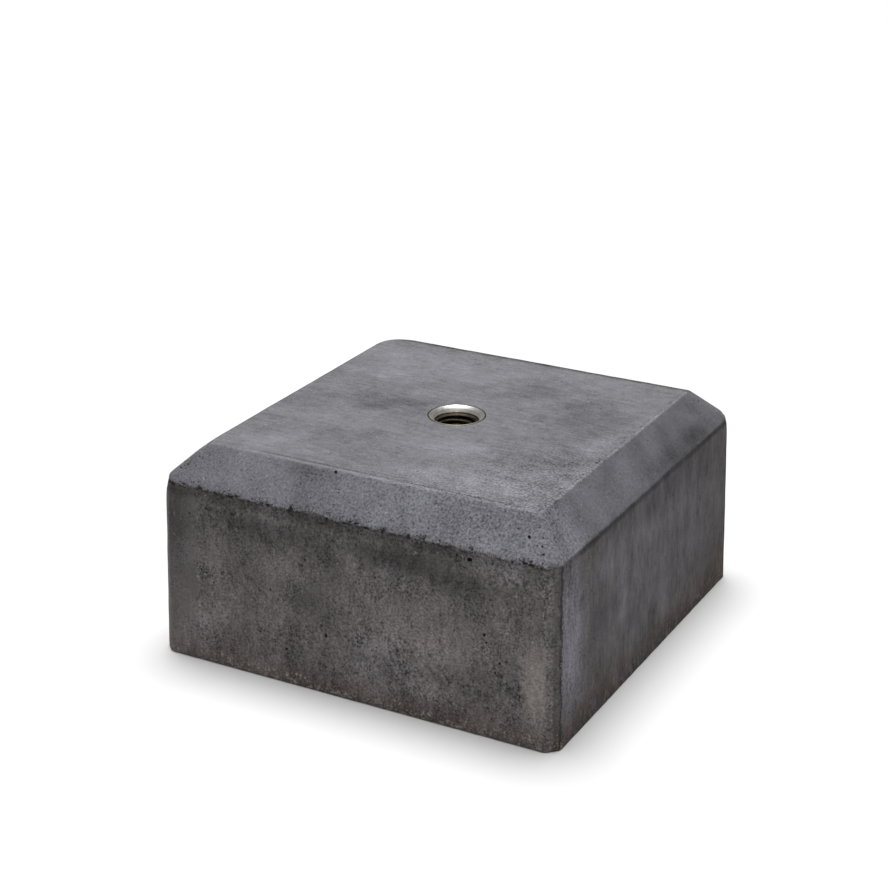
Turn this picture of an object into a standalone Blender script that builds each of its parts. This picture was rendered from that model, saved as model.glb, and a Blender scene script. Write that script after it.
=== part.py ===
"""Column base block: a cast concrete post foot with a threaded steel sleeve set in its top.

Metres, +Z up. The origin is the middle of the underside, and the front faces -Y.
"""

import math

import bmesh
import bpy

# The concrete block
BLOCK_WIDTH = 0.200        # square, across the foot
BLOCK_HEIGHT = 0.100       # underside to plateau
SIDE_DRAFT = 0.002         # each side leans in by this much from the foot to the shoulder
BEVEL_RISE = 0.016         # height of the bevel between the shoulder and the plateau
BEVEL_RUN = 0.016          # how far that bevel runs in
ARRIS_CUT = 0.005          # leg of the 45 degree cut down each upright corner
WORN_EDGE = 0.0008         # rounding that handling has left on every cast edge
WORN_EDGE_STEPS = 2
SHARP_ANGLE = 30           # degrees; anything sharper is an edge and not a round

# The threaded sleeve
THREAD_DIAMETER = 0.020    # M20, across the roots of the female thread
THREAD_PITCH = 0.0025
SLEEVE_WALL = 0.00325      # outside the thread's roots
SLEEVE_LENGTH = 0.050
SLEEVE_END = 0.004         # closed end that keeps the concrete out of the bore
RIM_FLAT = 0.0003          # flat ring on top, outside the countersink
RIM_CHAMFER = 0.0004       # on the rim's outer edge
COUNTERSINK_DEPTH = 0.0027
MOUTH_RELIEF = 0.00025     # radius by which the countersink's small end clears the thread's roots
RELIEF_DEPTH = 0.0004      # short plain wall below the countersink
LEAD_IN_DEPTH = 0.0005     # slope from that wall to the first thread
THREAD_START = 0.0003      # first crest below the lead-in
THREAD_RUN_OUT = 0.004     # plain bore between the last thread and the closed end
ROUND_STEPS = 32           # facets round the sleeve and its pocket
THREAD_FADE = 0.125        # share of a turn in which the thread starts and stops

# What parts the sleeve from the concrete round it
CASTING_GAP = 0.0003

# Worked out from the sizes above
SHOULDER_HEIGHT = BLOCK_HEIGHT - BEVEL_RISE
FOOT_HALF = BLOCK_WIDTH / 2
SHOULDER_HALF = FOOT_HALF - SIDE_DRAFT
PLATEAU_HALF = SHOULDER_HALF - BEVEL_RUN
THREAD_DEPTH = THREAD_PITCH * math.sqrt(3) / 2 * 5 / 8      # a metric thread's
ROOT_RADIUS = THREAD_DIAMETER / 2
CREST_RADIUS = ROOT_RADIUS - THREAD_DEPTH
MOUTH_RADIUS = ROOT_RADIUS + MOUTH_RELIEF
SLEEVE_RADIUS = ROOT_RADIUS + SLEEVE_WALL


def clear_scene():
    for thing in list(bpy.data.objects):
        bpy.data.objects.remove(thing, do_unlink=True)


def material(name, colour, roughness, metallic):
    made = bpy.data.materials.new(name)
    made.use_nodes = True
    shader = made.node_tree.nodes["Principled BSDF"]
    shader.inputs["Base Color"].default_value = (*colour, 1)
    shader.inputs["Roughness"].default_value = roughness
    shader.inputs["Metallic"].default_value = metallic
    return made


def add_object(name, bm, finish):
    """Turns a finished bmesh into an object of the scene."""
    bmesh.ops.recalc_face_normals(bm, faces=bm.faces)
    mesh = bpy.data.meshes.new(name)
    bm.to_mesh(mesh)
    bm.free()
    thing = bpy.data.objects.new(name, mesh)
    bpy.context.scene.collection.objects.link(thing)
    if finish:
        mesh.materials.append(finish)
    return thing


def square(bm, half, height):
    """The corners of a square ring, counterclockwise from above."""
    corners = ((1, 1), (-1, 1), (-1, -1), (1, -1))
    return [bm.verts.new((half * x, half * y, height)) for x, y in corners]


def skirt(bm, ring, next_ring):
    """Side faces between two rings with as many points each."""
    count = len(ring)
    for i in range(count):
        after = (i + 1) % count
        bm.faces.new((ring[i], ring[after], next_ring[after], next_ring[i]))


def cut_arris(bm, x_side, y_side):
    """Cuts one upright corner at 45 degrees, leaning in with the sides beside it."""
    lean = 2 * SIDE_DRAFT / SHOULDER_HEIGHT
    cut = bmesh.ops.bisect_plane(
        bm,
        geom=bm.verts[:] + bm.edges[:] + bm.faces[:],
        plane_co=((FOOT_HALF - ARRIS_CUT) * x_side, FOOT_HALF * y_side, 0),
        plane_no=(x_side, y_side, lean),
        clear_outer=True,
    )
    rim = [piece for piece in cut["geom_cut"] if isinstance(piece, bmesh.types.BMEdge)]
    bmesh.ops.contextual_create(bm, geom=rim)


def concrete_block(finish):
    """The cast block: drafted sides, cut arrises, and a bevel up to the plateau."""
    bm = bmesh.new()
    foot = square(bm, FOOT_HALF, 0)
    shoulder = square(bm, SHOULDER_HALF, SHOULDER_HEIGHT)
    plateau = square(bm, PLATEAU_HALF, BLOCK_HEIGHT)
    skirt(bm, foot, shoulder)
    skirt(bm, shoulder, plateau)
    bm.faces.new(list(reversed(foot)))
    bm.faces.new(plateau)
    for x_side in (1, -1):
        for y_side in (1, -1):
            cut_arris(bm, x_side, y_side)
    block = add_object("concrete_block", bm, finish)

    worn = block.modifiers.new("worn edges", "BEVEL")
    worn.width = WORN_EDGE
    worn.segments = WORN_EDGE_STEPS
    worn.limit_method = "ANGLE"
    worn.angle_limit = math.radians(SHARP_ANGLE)

    pocket = block.modifiers.new("sleeve pocket", "BOOLEAN")
    pocket.operation = "DIFFERENCE"
    pocket.solver = "EXACT"
    pocket.object = sleeve_pocket_cutter()
    return block


def circle(bm, radius, height):
    """A ring of points, clockwise from above, which is the way that a right-hand thread runs down."""
    return [
        bm.verts.new((radius * math.cos(turn), radius * math.sin(turn), height))
        for turn in (-2 * math.pi * i / ROUND_STEPS for i in range(ROUND_STEPS))
    ]


def sleeve_pocket_cutter():
    """The round hole that the sleeve sits in, with the casting gap all round."""
    clear_of_plateau = 0.005
    radius = SLEEVE_RADIUS + CASTING_GAP
    bm = bmesh.new()
    top = circle(bm, radius, BLOCK_HEIGHT + clear_of_plateau)
    bottom = circle(bm, radius, BLOCK_HEIGHT - SLEEVE_LENGTH - CASTING_GAP)
    skirt(bm, top, bottom)
    bm.faces.new(top)
    bm.faces.new(list(reversed(bottom)))
    cutter = add_object("sleeve_pocket_cutter", bm, None)
    cutter.hide_render = True
    cutter.display_type = "WIRE"
    return cutter


def female_thread(bm, upper, lower):
    """A right-hand metric thread cut into the wall between two rings at the crest's radius."""
    start = upper[0].co.z - THREAD_START
    turns = int((start - lower[0].co.z) / THREAD_PITCH) - 1
    steps = ROUND_STEPS * turns
    fade = THREAD_FADE * ROUND_STEPS
    crest, root = THREAD_PITCH / 4, THREAD_PITCH / 8
    flank = (THREAD_PITCH - crest - root) / 2

    def point(step, below, depth):
        turn = -2 * math.pi * step / ROUND_STEPS
        radius = CREST_RADIUS + depth * THREAD_DEPTH
        height = start - THREAD_PITCH * step / ROUND_STEPS - below
        return bm.verts.new((radius * math.cos(turn), radius * math.sin(turn), height))

    crests = [point(step, 0, 0) for step in range(steps + ROUND_STEPS + 1)]
    columns = []
    for step in range(steps + 1):
        depth = min(1, step / fade, (steps - step) / fade)
        columns.append([
            crests[step],
            point(step, crest, 0),
            point(step, crest + flank, depth),
            point(step, crest + flank + root, depth),
            crests[step + ROUND_STEPS],
        ])
    for before, after in zip(columns, columns[1:]):
        for row in range(len(before) - 1):
            bm.faces.new((before[row], before[row + 1], after[row + 1], after[row]))

    # The plain wall above the first turn, whose last panel meets the thread's whole starting column
    for i in range(ROUND_STEPS - 1):
        bm.faces.new((upper[i], crests[i], crests[i + 1], upper[i + 1]))
    corner = crests[ROUND_STEPS - 1]
    edge = [upper[ROUND_STEPS - 1], upper[0]] + columns[0]
    for above, below in zip(edge, edge[1:]):
        bm.faces.new((corner, below, above))

    # The plain wall below the last turn, whose first panel meets the thread's whole closing column
    for i in range(1, ROUND_STEPS):
        bm.faces.new((crests[steps + i], lower[i], lower[(i + 1) % ROUND_STEPS], crests[steps + i + 1]))
    corner = crests[steps + 1]
    edge = columns[-1] + [lower[0], lower[1]]
    for above, below in zip(edge, edge[1:]):
        bm.faces.new((corner, above, below))


def threaded_sleeve(finish):
    """The steel sleeve: a closed socket with a countersunk mouth, level with the plateau."""
    bm = bmesh.new()
    relief_top = BLOCK_HEIGHT - COUNTERSINK_DEPTH
    relief_bottom = relief_top - RELIEF_DEPTH
    thread_top = relief_bottom - LEAD_IN_DEPTH
    bore_bottom = BLOCK_HEIGHT - SLEEVE_LENGTH + SLEEVE_END
    thread_bottom = bore_bottom + THREAD_RUN_OUT
    outside = [
        circle(bm, SLEEVE_RADIUS, BLOCK_HEIGHT - SLEEVE_LENGTH),
        circle(bm, SLEEVE_RADIUS, BLOCK_HEIGHT - RIM_CHAMFER),
        circle(bm, SLEEVE_RADIUS - RIM_CHAMFER, BLOCK_HEIGHT),
        circle(bm, SLEEVE_RADIUS - RIM_CHAMFER - RIM_FLAT, BLOCK_HEIGHT),
        circle(bm, MOUTH_RADIUS, relief_top),
        circle(bm, MOUTH_RADIUS, relief_bottom),
        circle(bm, CREST_RADIUS, thread_top),
    ]
    for ring, following in zip(outside, outside[1:]):
        skirt(bm, ring, following)
    below_thread = circle(bm, CREST_RADIUS, thread_bottom)
    floor = circle(bm, CREST_RADIUS, bore_bottom)
    female_thread(bm, outside[-1], below_thread)
    skirt(bm, below_thread, floor)
    bm.faces.new(floor)
    bm.faces.new(outside[0])
    sleeve = add_object("threaded_sleeve", bm, finish)
    sleeve.data.shade_smooth()
    sleeve.data.set_sharp_from_angle(angle=math.radians(SHARP_ANGLE))
    return sleeve


def main():
    clear_scene()
    concrete_block(material("dark cast concrete", (0.075, 0.075, 0.08), 0.9, 0))
    threaded_sleeve(material("zinc-plated steel", (0.62, 0.62, 0.6), 0.3, 1))


main()
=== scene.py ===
"""Column base block: the looks of a post foot, cast in dark concrete round a threaded steel sleeve.

Metres, +Z up. The block's front faces -Y, and the camera sees its front and its +X side.
"""

import math
import random
from types import SimpleNamespace

import bmesh
import bpy
import numpy as np
from bpy.props import FloatProperty, FloatVectorProperty, IntProperty, PointerProperty
from mathutils import Euler, Matrix, Vector, noise


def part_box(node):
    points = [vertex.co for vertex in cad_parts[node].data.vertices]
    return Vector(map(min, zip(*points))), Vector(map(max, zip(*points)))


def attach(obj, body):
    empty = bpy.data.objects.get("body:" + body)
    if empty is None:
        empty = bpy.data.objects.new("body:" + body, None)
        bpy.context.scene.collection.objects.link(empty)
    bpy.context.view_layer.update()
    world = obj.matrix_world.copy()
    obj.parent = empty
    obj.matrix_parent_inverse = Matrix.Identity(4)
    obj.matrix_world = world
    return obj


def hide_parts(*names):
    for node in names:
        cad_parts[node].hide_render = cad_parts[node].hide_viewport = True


bl_info = {
    "name": "Column base block",
    "version": (1, 0, 0),
    "blender": (4, 5, 0),
    "location": "3D View > Sidebar > Base block",
    "description": "Models and finishes a cast concrete column base block with a threaded sleeve",
    "category": "Object",
}

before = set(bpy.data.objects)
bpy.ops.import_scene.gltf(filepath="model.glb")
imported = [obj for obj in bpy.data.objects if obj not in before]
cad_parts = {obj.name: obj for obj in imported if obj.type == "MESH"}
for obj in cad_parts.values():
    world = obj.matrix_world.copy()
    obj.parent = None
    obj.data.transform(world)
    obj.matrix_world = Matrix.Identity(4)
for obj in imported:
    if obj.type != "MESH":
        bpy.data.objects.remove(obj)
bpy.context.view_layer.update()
_, block_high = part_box("concrete_block")
sleeve_low, sleeve_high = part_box("threaded_sleeve")

MM = 0.001

# The block's form, the same as the frame's
BLOCK_HEIGHT = block_high.z
FOOT_HALF = block_high.x
SIDE_DRAFT = 2 * MM            # each side leans in by this much up to the shoulder
BEVEL_RISE = 16 * MM
BEVEL_RUN = 16 * MM
ARRIS_CUT = 5 * MM             # leg of the cut down each upright corner
CASTING_GAP = 0.3 * MM         # between the concrete and the sleeve
SHOULDER_HEIGHT = BLOCK_HEIGHT - BEVEL_RISE
SHOULDER_HALF = FOOT_HALF - SIDE_DRAFT
PLATEAU_HALF = SHOULDER_HALF - BEVEL_RUN
LEAN = SIDE_DRAFT / SHOULDER_HEIGHT

# The sleeve's form, the same as the frame's
SLEEVE_RADIUS = sleeve_high.x
SLEEVE_BOTTOM = sleeve_low.z
SLEEVE_END = 4 * MM
ROOT_RADIUS = 10 * MM          # M20, across the roots
THREAD_PITCH = 2.5 * MM
THREAD_DEPTH = THREAD_PITCH * math.sqrt(3) / 2 * 5 / 8
CREST_RADIUS = ROOT_RADIUS - THREAD_DEPTH
MOUTH_RADIUS = 10.25 * MM      # small end of the countersink
RIM_FLAT = 0.3 * MM
RIM_CHAMFER = 0.4 * MM
COUNTERSINK_DEPTH = 2.7 * MM
COUNTERSINK_CROWN = 0.25 * MM  # how far the countersink bulges from a straight cone
RELIEF_DEPTH = 0.4 * MM
LEAD_IN_DEPTH = 0.5 * MM
THREAD_RUN_OUT = 4 * MM
THREAD_TURN = 0.42             # share of a turn by which the thread starts late
SPIN_STEPS = 128
WALL_ROWS = 230                # rows down the threaded wall

# The grid that the block's surface is cut into before it is worn
EDGE_ROW = 2.2 * MM            # fine rows beside each edge
FACE_ROWS = 16                 # coarse rows across the plateau
SIDE_ROWS = 4                  # coarse rows up a side
GRID_LEVELS = 3                # each level halves every row

# Edge wear by height: the foot, the upright arrises, the shoulder and the plateau
WEAR_HEIGHTS = (0, 8 * MM, 20 * MM, 76 * MM, 84 * MM, 90 * MM, 95 * MM, 100 * MM)
WEAR_SIZES = (0.5 * MM, 0.5 * MM, 0.45 * MM, 0.45 * MM, 0.7 * MM, 0.5 * MM, 0.3 * MM, 0.3 * MM)

# How wide the dips in the faces are, and the crumbs that broke from the shoulder
BROAD_DIP = 38 * MM
SMALL_DIP = 11 * MM
CRUMB = 2.6 * MM
CRUMBLED_BAND = 3.2 * MM       # above and below the shoulder

# Corners worn rounder than the rest: the place, its reach and the extra wear
WORN_CORNERS = (
    ((-82 * MM, 82 * MM, 100 * MM), 16 * MM, 2.2 * MM),
    ((98 * MM, -98 * MM, 0), 7 * MM, 0.4 * MM),
    ((-98 * MM, -98 * MM, 84 * MM), 11 * MM, 1.6 * MM),
    ((-82 * MM, -82 * MM, 100 * MM), 9 * MM, 0.9 * MM),
    ((98 * MM, 98 * MM, 84 * MM), 8 * MM, 1.0 * MM),
)

PIT_CLEARANCE = 0.62           # least distance between two pits, as a share of their widths together

# Pinholes that the photograph shows, in millimetres: where along the face, how high, and how wide
FRONT_PINHOLES = (
    (73, 36.5, 1.3), (71, 31.5, 1.1), (58, 80.5, 2.0), (65.5, 48, 1.5), (66.5, 44.5, 1.2),
    (-11.5, 28.5, 1.6), (-32, 17, 1.5), (-40, 44, 1.3), (-36, 40, 0.9), (-22, 62.5, 1.1),
    (13, 62, 1.2), (25, 60, 1.0), (29, 50.5, 0.9), (46, 26.5, 0.9), (47, 18, 0.8), (42.5, 24, 0.8),
    (-82, 71.5, 1.0), (-70, 40.5, 1.1), (-69, 14.5, 1.0), (-17, 11, 0.9), (70, 20, 0.9),
    (67.5, 16.5, 0.8), (83.5, 19, 0.9), (-26, 36, 0.8), (-8, 39, 0.9), (94, 71, 1.2), (80, 56, 0.8),
)
RIGHT_PINHOLES = ((-62, 37.5, 1.0), (-65, 35.5, 0.9), (-51, 47.5, 0.9), (-86, 14, 1.1), (39, 14, 1.1))
BEVEL_PINHOLES = (
    (-15, 15.2, 1.5), (81, 8.4, 1.5), (75, 10.2, 0.9), (-10, 9, 0.8), (-3, 6.5, 0.8), (60, 12, 0.8),
)

# Camera, from the straight edges of the photograph
CAMERA_PLACE = (400.97 * MM, -758.82 * MM, 435.24 * MM)
CAMERA_TURN = (67.824, -0.089, 28.278)     # degrees
CAMERA_LENS = 81.146                       # millimetres on a 36 mm sensor

# Lights
OVERHEAD_TILT = (-7.0, -4.5, 0)            # degrees
OVERHEAD_SPREAD = 36                       # degrees across, for a soft shadow
CARD_PLACE = (0.48, -0.91, 1.23)
CARD_SIZE = 1.2


def linear(colour):
    """An sRGB hex colour as linear red, green and blue."""
    parts = (int(colour[i:i + 2], 16) / 255 for i in (1, 3, 5))
    return tuple(c / 12.92 if c <= 0.04045 else ((c + 0.055) / 1.055) ** 2.4 for c in parts)


class ConcreteLooks(bpy.types.PropertyGroup):
    """Finish of the cast block"""

    plateau_colour: FloatVectorProperty(
        name="Plateau", description="Trowelled concrete of the flat top", subtype="COLOR",
        size=3, min=0, max=1, default=linear("#7b7b80"),
    )
    bevel_colour: FloatVectorProperty(
        name="Bevel", description="Concrete of the bevel, cast against the mould's ring", subtype="COLOR",
        size=3, min=0, max=1, default=linear("#717177"),
    )
    # darker than the top: partly the sides' own colour, partly painted shade
    shaded_side_colour: FloatVectorProperty(
        name="Sides", description="Concrete of the upright sides, cast against steel", subtype="COLOR",
        size=3, min=0, max=1, default=linear("#696464"),
    )
    # colour of the painted shade in the pits, and of the dark pepper specks along the shoulder
    pit_shade_and_speck_colour: FloatVectorProperty(
        name="Pit_shade", description="Earth in the pores and along the foot", subtype="COLOR",
        size=3, min=0, max=1, default=linear("#1e1a18"),
    )
    bloom_colour: FloatVectorProperty(
        name="Bloom", description="Bluish lime bloom on the sides", subtype="COLOR",
        size=3, min=0, max=1, default=linear("#96939d"),
    )
    earth_colour: FloatVectorProperty(
        name="Earth", description="Brown film left by damp earth", subtype="COLOR",
        size=3, min=0, max=1, default=linear("#8f8986"),
    )
    damp_colour: FloatVectorProperty(
        name="Damp", description="Reddish brown of the foot where it stood in wet soil", subtype="COLOR",
        size=3, min=0, max=1, default=linear("#72665f"),
    )
    chip_colour: FloatVectorProperty(
        name="Chips", description="Pale aggregate where the concrete is freshly chipped", subtype="COLOR",
        size=3, min=0, max=1, default=linear("#b4aea4"),
    )
    unevenness: FloatProperty(
        name="Unevenness", description="How far the flat faces dip", unit="LENGTH",
        min=0, max=2 * MM, default=0.22 * MM,
    )
    crumble: FloatProperty(
        name="Crumble", description="How deep the shoulder has crumbled", unit="LENGTH",
        min=0, max=3 * MM, default=0.8 * MM,
    )
    pits: IntProperty(
        name="Pits", description="Small pits scattered over the block", min=0, max=900, default=440,
    )
    seed: IntProperty(name="Seed", description="Picks another scatter of pits", default=7)


class SleeveLooks(bpy.types.PropertyGroup):
    """Finish of the threaded sleeve"""

    steel_colour: FloatVectorProperty(
        name="Steel", description="Bright zinc on turned steel", subtype="COLOR",
        size=3, min=0, max=1, default=linear("#e2e0dc"),
    )
    grime_colour: FloatVectorProperty(
        name="Grime", description="Cement dust and oil down in the thread", subtype="COLOR",
        size=3, min=0, max=1, default=linear("#857960"),
    )


class StageLooks(bpy.types.PropertyGroup):
    """Floor and light"""

    floor_colour: FloatVectorProperty(
        name="Floor", description="White paper under the block", subtype="COLOR",
        size=3, min=0, max=1, default=(0.92, 0.92, 0.92),
    )
    overhead_light: FloatProperty(
        name="Overhead light", description="Strength of the large light above", min=0, max=20, default=3.42,
    )
    front_light: FloatProperty(
        name="Front light", description="Power of the soft card above the camera, in watts", min=0, max=20,
        default=1.0,
    )
    fill_light: FloatProperty(
        name="Fill light", description="Strength of the light from all round", min=0, max=5, default=0.03,
    )
    room_light: FloatProperty(
        name="Room light", description="How bright the room is in the sleeve's reflections", min=0, max=5,
        default=0.13,
    )


def deselect_all():
    bpy.ops.object.select_all(action="DESELECT")


def take_up(piece):
    """Makes one object the only selected and active one."""
    deselect_all()
    piece.select_set(True)
    bpy.context.view_layer.objects.active = piece


def choose(piece, kind, wanted):
    """In edit mode, selects just the faces, edges or vertices that pass a test."""
    bpy.ops.mesh.select_mode(type=kind)
    bpy.ops.mesh.select_all(action="DESELECT")
    mesh = bmesh.from_edit_mesh(piece.data)
    parts = {"FACE": mesh.faces, "EDGE": mesh.edges, "VERT": mesh.verts}[kind]
    for part in parts:
        if wanted(part):
            part.select_set(True)
    bmesh.update_edit_mesh(piece.data)


def cut_across(place, normal, **options):
    """In edit mode, cuts the whole mesh along a plane, and keeps what is already on it."""
    bpy.ops.mesh.select_all(action="SELECT")
    bpy.ops.mesh.bisect(plane_co=place, plane_no=normal, threshold=0.1 * MM, **options)


def finish_piece(piece, name, node, material, angle):
    """Names a finished mesh, gives it its one material and puts it in its node's place."""
    piece.name = name
    piece.data.name = name
    piece.data.materials.clear()
    piece.data.materials.append(material)
    take_up(piece)
    bpy.ops.object.shade_smooth_by_angle(angle=math.radians(angle))
    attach(piece, "root")
    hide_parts(node)


# The block's mesh


def block_form():
    """The plain block: a drafted square foot, the bevel up to the plateau, and four cut arrises."""
    deselect_all()
    bpy.ops.mesh.primitive_cube_add(size=1, location=(0, 0, SHOULDER_HEIGHT / 2))
    block = bpy.context.active_object
    bpy.ops.transform.resize(value=(2 * FOOT_HALF, 2 * FOOT_HALF, SHOULDER_HEIGHT))
    bpy.ops.object.transform_apply(location=True, rotation=True, scale=True)
    bpy.ops.object.mode_set(mode="EDIT")

    choose(block, "FACE", lambda face: face.normal.z > 0.5)
    taper = SHOULDER_HALF / FOOT_HALF
    bpy.ops.transform.resize(value=(taper, taper, 1), center_override=(0, 0, SHOULDER_HEIGHT))
    bpy.ops.mesh.extrude_region_move(TRANSFORM_OT_translate={"value": (0, 0, BEVEL_RISE)})
    taper = PLATEAU_HALF / SHOULDER_HALF
    bpy.ops.transform.resize(value=(taper, taper, 1), center_override=(0, 0, BLOCK_HEIGHT))

    for x_side in (1, -1):
        for y_side in (1, -1):
            cut_across(
                ((FOOT_HALF - ARRIS_CUT) * x_side, FOOT_HALF * y_side, 0), (x_side, y_side, 2 * LEAN),
                use_fill=True, clear_outer=True,
            )
    choose(block, "FACE", lambda face: face.normal.z < -0.5)
    bpy.ops.mesh.delete(type="FACE")
    return block


def cut_grid(block):
    """Cuts the open-bottomed block into rows, finer beside its edges, and fills the bottom again."""
    inner = PLATEAU_HALF - EDGE_ROW
    on_bevel = EDGE_ROW / math.sqrt(2)
    across = [inner * (2 * i / FACE_ROWS - 1) for i in range(FACE_ROWS + 1)]
    bevel_rows = (PLATEAU_HALF + on_bevel, PLATEAU_HALF + BEVEL_RUN / 2, SHOULDER_HALF - on_bevel)
    for outer in (PLATEAU_HALF, *bevel_rows):
        across += [outer, -outer]
    for place in across:
        cut_across((place, 0, 0), (1, 0, 0))
        cut_across((0, place, 0), (0, 1, 0))
    side = SHOULDER_HEIGHT - 2 * EDGE_ROW
    up = [EDGE_ROW + side * i / SIDE_ROWS for i in range(SIDE_ROWS + 1)]
    up += [SHOULDER_HEIGHT + on_bevel, SHOULDER_HEIGHT + BEVEL_RISE / 2, BLOCK_HEIGHT - on_bevel]
    for height in up:
        cut_across((0, 0, height), (0, 0, 1))
    bpy.ops.object.mode_set(mode="OBJECT")

    grid = block.modifiers.new("grid", "SUBSURF")
    grid.subdivision_type = "SIMPLE"
    grid.levels = grid.render_levels = GRID_LEVELS
    take_up(block)
    bpy.ops.object.modifier_apply(modifier=grid.name)

    bpy.ops.object.mode_set(mode="EDIT")
    choose(block, "EDGE", lambda edge: edge.is_boundary)
    bpy.ops.mesh.extrude_region_move(TRANSFORM_OT_translate={"value": (0, 0, 0)})
    bpy.ops.transform.resize(value=(0.96, 0.96, 1), center_override=(0, 0, 0))
    bpy.ops.mesh.edge_face_add()
    bpy.ops.mesh.select_all(action="SELECT")
    bpy.ops.mesh.remove_doubles(threshold=0.001 * MM)
    bpy.ops.mesh.normals_make_consistent(inside=False)
    bpy.ops.object.mode_set(mode="OBJECT")


def block_planes():
    """Every flat face of the plain block, as outward unit normals and their distances from the origin."""
    normals, places = [], []
    for x, y in ((1, 0), (-1, 0), (0, 1), (0, -1)):
        normals.append((x, y, LEAN))
        places.append((x * FOOT_HALF, y * FOOT_HALF, 0))
        normals.append((x * BEVEL_RISE, y * BEVEL_RISE, BEVEL_RUN))
        places.append((x * PLATEAU_HALF, y * PLATEAU_HALF, BLOCK_HEIGHT))
    for x in (1, -1):
        for y in (1, -1):
            normals.append((x, y, 2 * LEAN))
            places.append(((FOOT_HALF - ARRIS_CUT) * x, FOOT_HALF * y, 0))
    normals += [(0, 0, 1), (0, 0, -1)]
    places += [(0, 0, BLOCK_HEIGHT), (0, 0, 0)]
    normals = np.array([Vector(normal).normalized() for normal in normals])
    return normals, (normals * np.array(places)).sum(axis=1)


def wear_size(points):
    """How large the rounding of an edge is at each point: uneven, and more at the worn corners."""
    size = np.interp(points[:, 2], WEAR_HEIGHTS, WEAR_SIZES)
    size *= 1 + 0.5 * np.array([noise.noise(Vector(point) / (9 * MM)) for point in points])
    size *= np.where(points[:, 0] > np.abs(points[:, 1]) + 2 * MM, 0.55, 1)     # the +X side is crisp
    for corner, reach, extra in WORN_CORNERS:
        distance = np.linalg.norm(points - np.array(corner), axis=1) / reach
        size += extra * np.clip(1 - distance, 0, 1) ** 2
    return np.maximum(size, 0.15 * MM)


def above_surface(points, size):
    """How far each point stands above the rounded block, and the outward direction there."""
    normals, offsets = block_planes()
    reach = points @ normals.T - offsets
    highest = reach.max(axis=1, keepdims=True)
    weight = np.exp((reach - highest) / size[:, None])
    total = weight.sum(axis=1, keepdims=True)
    height = highest[:, 0] + size * np.log(total[:, 0])
    return height, (weight / total) @ normals


def read_points(piece):
    points = np.empty(len(piece.data.vertices) * 3)
    piece.data.vertices.foreach_get("co", points)
    return points.reshape(-1, 3)


def write_points(piece, points):
    piece.data.vertices.foreach_set("co", points.ravel())
    piece.data.update()


def wear_block(block, looks):
    """Rounds every edge unevenly, lets the faces dip a little and crumbles the shoulder."""
    points = read_points(block)
    size = wear_size(points)
    for _ in range(3):
        height, outward = above_surface(points, size)
        points -= outward * (height / (outward ** 2).sum(axis=1))[:, None]
    outward /= np.linalg.norm(outward, axis=1, keepdims=True)

    dip = np.empty(len(points))
    for i, point in enumerate(points):
        place = Vector(point)
        broad = noise.noise(place / BROAD_DIP) + 0.35 * noise.noise(place / SMALL_DIP)
        dip[i] = looks.unevenness * min(1, max(0, 0.5 + 0.5 * broad))
        from_shoulder = abs(point[2] - SHOULDER_HEIGHT) / CRUMBLED_BAND
        if from_shoulder < 1:
            crumbs = noise.fractal(place / CRUMB, 1.0, 2.0, 3) - 0.05
            share = 0.15 if point[0] > abs(point[1]) else 1       # the shoulder on the +X side is crisp
            dip[i] += looks.crumble * share * (1 - from_shoulder) * min(1, max(0, crumbs * 1.6))
    dip[outward[:, 2] < -0.3] = 0
    write_points(block, points - outward * dip[:, None])


def seen_pinholes():
    """The pinholes of the photograph, each as its place, the way out of the face there and its width."""
    for x, z, width in FRONT_PINHOLES:
        yield Vector((x * MM, LEAN * z * MM - FOOT_HALF, z * MM)), Vector((0, -1, LEAN)), width * MM
    for y, z, width in RIGHT_PINHOLES:
        yield Vector((FOOT_HALF - LEAN * z * MM, y * MM, z * MM)), Vector((1, 0, LEAN)), width * MM
    for x, rise, width in BEVEL_PINHOLES:
        place = Vector((x * MM, rise * MM - SHOULDER_HALF, SHOULDER_HEIGHT + rise * MM))
        yield place, Vector((0, -1, 1)), width * MM


def scattered_pits(looks, draw):
    """Random small pits: most along the crumbled shoulder and the hips, the rest over the faces."""
    sides = [Matrix.Rotation(turn, 3, "Z") for turn in (0, math.pi / 2, math.pi, -math.pi / 2)]
    for _ in range(looks.pits):
        side = sides[draw.choice((0, 0, 0, 1, 1, 2, 3))]
        along = draw.uniform(-92, 92) * MM
        kind = draw.random()
        if kind < 0.5:
            side = sides[draw.choice((0, 0, 0, 0, 2, 3))]
            height = SHOULDER_HEIGHT + draw.gauss(-0.8, 1.3) * MM
            way, width = Vector((0, -1, 0.4)), draw.uniform(0.5, 1.05) * MM
            if abs(along) > 50 * MM and draw.random() < 0.6:
                along = draw.gauss(0, 28) * MM
        elif kind < 0.62:
            rise = draw.uniform(1, 15) * MM
            height = SHOULDER_HEIGHT + rise
            along = draw.choice((-1, 1)) * (SHOULDER_HALF - rise - abs(draw.gauss(0, 4)) * MM)
            way, width = Vector((0, -1, 1)), draw.uniform(0.5, 1.1) * MM
        elif kind < 0.8:
            height = SHOULDER_HEIGHT + draw.uniform(1, 15.5) * MM
            way, width = Vector((0, -1, 1)), draw.uniform(0.45, 0.9) * MM
        else:
            height = draw.uniform(1, 80) * MM
            way, width = Vector((0, -1, LEAN)), draw.uniform(0.45, 1.0) * MM
        if height > SHOULDER_HEIGHT:
            out = SHOULDER_HALF - (height - SHOULDER_HEIGHT)
        else:
            out = FOOT_HALF - LEAN * height
        if abs(along) < out - 1.5 * MM:
            yield side @ Vector((along, -out, height)), side @ way, width


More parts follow.
